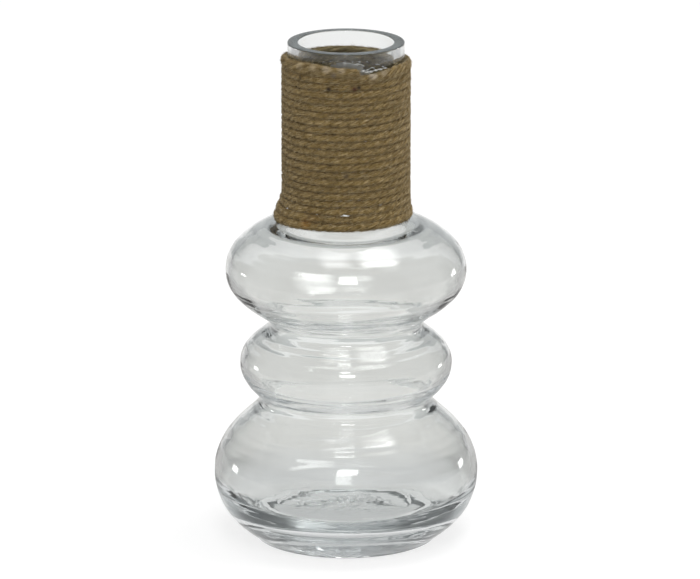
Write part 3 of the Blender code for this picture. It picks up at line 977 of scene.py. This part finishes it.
def jute_material(name, shades):
    """Three-ply jute, spun and not dyed: dull, dry bast fibres from straw to dark brown.

    Real fibres are 0.05 mm wide, too fine to show, so the streaks are drawn as bundles 0.4 mm wide.
    The side pressed to the glass is drawn paler: little light reaches it here, and the photograph
    shows it nearly as bright as the outside.
    """
    material, tree = blank_material(name)
    strand = add(tree, "UVMap", uv_map="strand")
    where = add(tree, "TexCoord").outputs["Object"]
    stretch = add(tree, "Mapping", {"Vector": strand, "Scale": (330.0, 17.0, 1.0)})
    streaks = add(tree, "TexNoise", {"Vector": stretch, "Scale": 1.0, "Detail": 4.0, "Roughness": 0.65})
    blotches = add(tree, "TexNoise", {"Vector": where, "Scale": 620.0, "Detail": 3.0, "Roughness": 0.6})
    both = add(tree, "Mix", {FACTOR: 0.25, VALUE_A: streaks, VALUE_B: blotches}, data_type="FLOAT")
    stained = add(tree, "ValToRGB", {"Fac": both}, stops=list(zip(SHADE_PLACES, shades)))
    level = add(tree, "VectorMath", {0: where, 1: (1.0, 1.0, 0.0)}, operation="MULTIPLY")
    radius = add(tree, "VectorMath", {0: level}, operation="LENGTH")
    outer, inner = NECK_RADIUS + TWINE_DEPTH, NECK_RADIUS + 0.3 * TWINE_DEPTH
    rise = {"Value": radius, "From Min": outer, "From Max": inner, "To Max": 0.5}
    pressed = add(tree, "MapRange", rise, **SMOOTH)
    paler = {FACTOR: pressed, COLOUR_A: stained, COLOUR_B: srgb("dccba4")}
    stained = add(tree, "Mix", paler, data_type="RGBA")
    for azimuth, height, reach, strength, colour in STAINS:
        spot = tuple(around(NECK_RADIUS + 2.0 * TWINE_DEPTH, math.radians(azimuth), height))
        away = add(tree, "VectorMath", {0: where, 1: spot}, operation="DISTANCE")
        rise = {"Value": away, "From Min": reach, "From Max": 0.0, "To Max": strength}
        share = add(tree, "MapRange", rise, **SMOOTH)
        stain = {FACTOR: share, COLOUR_A: stained, COLOUR_B: srgb(colour)}
        stained = add(tree, "Mix", stain, data_type="RGBA")
    skin = {
        "Base Color": stained,
        "Roughness": 0.88,
        "Specular IOR Level": 0.2,
        "Sheen Weight": 0.12,
        "Normal": add(tree, "Bump", {"Distance": 0.00028, "Height": both}),
    }
    add(tree, "OutputMaterial", {"Surface": add(tree, "BsdfPrincipled", skin)})
    return material


def aimed(name, data, way, distance):
    """New camera or lamp that stands some way off and faces the vase's middle."""
    item = bpy.data.objects.new(name, data)
    bpy.context.scene.collection.objects.link(item)
    item.location = LOOK_AT + way * distance
    item.rotation_euler = (-way).to_track_quat("-Z", "Y").to_euler()
    return item


def set_camera():
    data = bpy.data.cameras.new("camera")
    data.lens = LENS
    data.sensor_width = SENSOR
    data.shift_x, data.shift_y = CAMERA_SHIFT
    data.clip_start, data.clip_end = CLIP
    back = Vector((0.0, -math.cos(CAMERA_PITCH), math.sin(CAMERA_PITCH)))
    bpy.context.scene.camera = aimed("camera", data, back, CAMERA_DISTANCE)


def backdrop_share(tree):
    """1 for rays that see the backdrop, straight, mirrored or through glass, else 0."""
    path = add(tree, "LightPath").outputs
    seen = path["Is Camera Ray"]
    for kind in ("Is Glossy Ray", "Is Transmission Ray"):
        seen = add(tree, "Math", {0: seen, 1: path[kind]}, operation="MAXIMUM")
    return seen


def corner_shade(tree, vector):
    """The studio's corners give less light than its four sides, so that round glass shows its edge."""
    split = add(tree, "SeparateXYZ", {"Vector": vector})
    side = add(tree, "Math", {0: split.outputs["X"], 1: split.outputs["Y"]}, operation="ARCTAN2")
    four = add(tree, "Math", {0: side, 1: 4.0}, operation="MULTIPLY")
    wave = add(tree, "Math", {0: four}, operation="COSINE")
    rise = {"Value": wave, "From Min": -CORNER_REACH, "From Max": CORNER_REACH, "To Min": CORNER_LIGHT}
    return add(tree, "MapRange", rise, **SMOOTH)


def backdrop_colour(tree, colour, vector, share):
    """A colour, dimmed in the studio's corners by a share, and plain white for the camera itself."""
    dimmed = {FACTOR: share, COLOUR_A: colour, COLOUR_B: corner_shade(tree, vector)}
    cornered = add(tree, "Mix", dimmed, data_type="RGBA", blend_type="MULTIPLY")
    camera_ray = add(tree, "LightPath").outputs["Is Camera Ray"]
    white = {FACTOR: camera_ray, COLOUR_A: cornered, COLOUR_B: srgb("ffffff")}
    return add(tree, "Mix", white, data_type="RGBA")


def set_world():
    """Studio round the vase: pale low down, dimmer overhead. The camera itself sees plain white."""
    world = bpy.data.worlds.new("studio")
    bpy.context.scene.world = world
    tree = blank_tree(world)
    where = add(tree, "TexCoord").outputs["Generated"]
    split = add(tree, "SeparateXYZ", {"Vector": where})
    walls = add(tree, "ValToRGB", {"Fac": split.outputs["Z"]}, stops=WALL_COLOURS)
    seen_colour = backdrop_colour(tree, walls, where, 1.0)
    visible = add(tree, "Background", {"Color": seen_colour, "Strength": 1.0})
    light = add(tree, "Background", {"Color": srgb("ffffff"), "Strength": WORLD_LIGHT})
    both = add(tree, "MixShader", {0: backdrop_share(tree), 1: light, 2: visible})
    add(tree, "OutputWorld", {"Surface": both})


def add_softbox(name, azimuth, elevation, distance, size, watts, edge):
    """Rectangular lamp whose light falls off towards its edges."""
    data = bpy.data.lights.new(name, "AREA")
    data.shape = "RECTANGLE"
    data.size, data.size_y = size
    data.energy = watts
    tree = blank_tree(data)
    across = add(tree, "NewGeometry").outputs["Parametric"]
    split = add(tree, "SeparateXYZ", {"Vector": across})
    falls = []
    for axis in ("X", "Y"):
        off = add(tree, "Math", {0: split.outputs[axis], 1: 0.5}, operation="SUBTRACT")
        reach = add(tree, "Math", {0: off}, operation="ABSOLUTE")
        fall = {"Value": reach, "From Min": 0.5, "From Max": 0.5 - 0.5 * edge}
        falls.append(add(tree, "MapRange", fall, **SMOOTH))
    both = add(tree, "Math", {0: falls[0], 1: falls[1]}, operation="MULTIPLY")
    add(tree, "OutputLight", {"Surface": add(tree, "Emission", {"Strength": both})})
    elevation = math.radians(elevation)
    way = Vector(around(math.cos(elevation), math.radians(azimuth), math.sin(elevation)))
    return aimed(name, data, way, distance)


def set_lights():
    """Softboxes. The two at the back show as slivers on the glass and not through it.

    The fill on the right is for the twine and shows on no glass.
    """
    lamps = {name: add_softbox(name, *values) for name, values in SOFTBOXES.items()}
    for name in ("left_softbox", "right_softbox", "fill_softbox"):
        lamps[name].visible_transmission = False
    lamps["fill_softbox"].visible_glossy = False
    cycles = bpy.context.scene.cycles
    cycles.max_bounces = GLASS_BOUNCES
    cycles.transmission_bounces = GLASS_BOUNCES
    cycles.glossy_bounces = MIRROR_BOUNCES


def make_floor():
    """Matt white paper, which lights the glass from below and takes the vase's soft shadow."""
    clear_selection()
    bpy.ops.mesh.primitive_plane_add(size=FLOOR_SIZE, location=(0.0, 0.0, 0.0))
    floor = bpy.context.object
    floor.name = "studio_floor"
    material, tree = blank_material("white_paper_sweep")
    where = add(tree, "TexCoord").outputs["Object"]
    reach = add(tree, "VectorMath", {0: where}, operation="LENGTH")
    # Painted light on the paper as glass sees it: a bright ring just outside the foot, dimmer round the
    # vase, bright far off
    painted_floor_light = add(tree, "ValToRGB", {"Fac": reach}, stops=FLOOR_PAINTED_LIGHT)
    near, far = FLOOR_CORNERS
    away = add(tree, "MapRange", {"Value": reach, "From Min": near, "From Max": far}, **SMOOTH)
    seen_colour = backdrop_colour(tree, painted_floor_light, where, away)
    paper = add(tree, "BsdfDiffuse", {"Color": srgb("e6e6e4")})
    shaded = add(tree, "BsdfDiffuse", {"Color": srgb("989898")})
    glow = add(tree, "Emission", {"Color": seen_colour, "Strength": FLOOR_GLOW})
    bright = add(tree, "AddShader", {0: shaded, 1: glow})
    both = add(tree, "MixShader", {0: backdrop_share(tree), 1: paper, 2: bright})
    add(tree, "OutputMaterial", {"Surface": both})
    floor.data.materials.append(material)


def glue_material(name, clearness, roughness):
    """Craft glue that set glossy, clear where it is thin and cloudy white where it foamed."""
    material, tree = blank_material(name)
    where = add(tree, "TexCoord").outputs["Object"]
    clouds = add(tree, "TexNoise", {"Vector": where, "Scale": 900.0, "Detail": 2.0})
    low, high = clearness
    rise = {"Value": clouds, "From Min": 0.35, "From Max": 0.65, "To Min": low, "To Max": high}
    skin = {
        "Base Color": srgb("c8c8c4"),
        "Roughness": roughness,
        "IOR": 1.48,
        "Transmission Weight": add(tree, "MapRange", rise, **SMOOTH),
        "Normal": add(tree, "Bump", {"Distance": 0.00010, "Height": clouds}),
    }
    add(tree, "OutputMaterial", {"Surface": add(tree, "BsdfPrincipled", skin)})
    return material


def glue_drops(name, drops, material, seed):
    """Irregular lens-shaped drops of glue that lie on the glass or on the twine, as one piece."""
    rng = np.random.default_rng(seed)
    clear_selection()
    pieces = []
    for azimuth, radius, height, tilt, width, tall, thick in drops:
        bpy.ops.mesh.primitive_ico_sphere_add(subdivisions=4, radius=1.0, location=(0.0, 0.0, 0.0))
        drop = bpy.context.object
        shifts = rng.uniform(0.0, math.tau, len(GLUE_BAYS))
        tilt = math.radians(tilt)
        for vert in drop.data.vertices:
            across, up, out = vert.co
            way = math.atan2(up, across)
            wobble = 1.0
            for (number, depth), shift in zip(GLUE_BAYS, shifts):
                wobble += depth * math.sin(number * way + shift)
            across *= wobble * width / 2.0
            up *= wobble * tall / 2.0
            out = max(out, GLUE_UNDERSIDE * out) * thick + GLUE_GAP
            reach = radius - up * math.cos(tilt) + out * math.sin(tilt)
            level = height + up * math.sin(tilt) + out * math.cos(tilt)
            vert.co = around(reach, math.radians(azimuth) + across / radius, level)
        pieces.append(drop)
    for drop in pieces:
        drop.select_set(True)
    bpy.ops.object.join()
    piece = bpy.context.object
    piece.name = piece.data.name = name
    piece.data.materials.append(material)
    bpy.ops.object.shade_smooth()
    return piece


def glue_thread(name, points, material):
    """Thin string of glue through some points."""
    knots = np.array([around(radius, math.radians(side), height) for side, radius, height in points])
    fine = np.linspace(0.0, len(knots) - 1.0, 4 * len(knots))
    line = between(fine, np.arange(len(knots)), knots)
    for _ in range(2):
        line[1:-1] = (line[:-2] + 2.0 * line[1:-1] + line[2:]) / 4.0
    ahead = unit(np.gradient(line, axis=0))
    side_a = unit(np.cross(ahead, (0.0, 0.0, 1.0)))
    side_b = np.cross(ahead, side_a)
    uneven, quick = GLUE_THREAD_SWELL
    radius = GLUE_THREAD_RADIUS * (1.0 + uneven * np.sin(quick * fine + 1.0))
    radii = radius[:, None] * np.ones(GLUE_THREAD_SIDES)
    return tube_mesh(name, line, side_a, side_b, radii, fine, material)


def make_glue():
    """The film and strings above the twine's upper end, and the flecks in the corner at its foot."""
    film = glue_material("thin_clear_glue", (0.62, 0.88), 0.30)
    cloudy = glue_material("foamed_white_glue", (0.10, 0.60), 0.45)
    top = [
        glue_drops("glue_film", GLUE_FILM, film, seed=3),
        glue_drops("glue_notch_flecks", GLUE_NOTCH, cloudy, seed=4),
    ]
    for i, points in enumerate(GLUE_THREADS):
        top.append(glue_thread(f"glue_string_{i + 1}", points, cloudy))
    return top, [glue_drops("glue_foot_flecks", GLUE_FOOT, cloudy, seed=6)]


def place(piece, slot, node):
    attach(piece, "root")
    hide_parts(node)


def main():
    clear_selection()
    bpy.context.scene.view_settings.view_transform = "Standard"
    set_camera()
    set_world()
    set_lights()
    make_floor()
    place(make_glass(), "clear_glass", "glass_body")
    plies = jute_material("spun_jute_twine", PLY_SHADES)
    fibres = jute_material("loose_jute_fibres", FIBRE_SHADES)
    twine = twine_line()
    for piece in make_plies(twine, plies) + make_fibres(twine, fibres):
        place(piece, "jute_twine", "twine_wrap")
    for pieces, node in zip(make_glue(), ("glue_smear_top", "glue_bead_foot")):
        for piece in pieces:
            place(piece, "clear_glue", node)


main()
